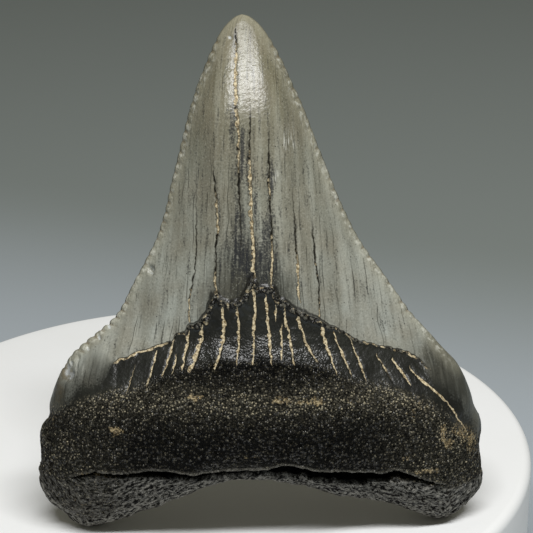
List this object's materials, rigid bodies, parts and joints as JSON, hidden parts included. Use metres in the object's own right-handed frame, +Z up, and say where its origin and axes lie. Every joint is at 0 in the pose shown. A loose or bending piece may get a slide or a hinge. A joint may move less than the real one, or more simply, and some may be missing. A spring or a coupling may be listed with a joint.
{
  "type": "megalodon tooth on display disc",
  "caption": "Fossil shark tooth with pointed serrated crown and two-lobed root, standing on a round white display disc.",
  "frame": {"origin": "middle of the display disc's underside, on the surface that the disc stands on", "axes": "+Z up out of the disc's top, -Y out of the tooth's rounded display face, +X to the right as that face is seen"},
  "size_m": [0.07, 0.07, 0.0633],
  "materials": {
    "fossil_tooth": "satin mineralised enamel over rough black root",
    "white_disc": "satin"
  },
  "bodies": {
    "root": {"tooth": "fossil_tooth", "display_disc": "white_disc"}
  },
  "joints": []
}
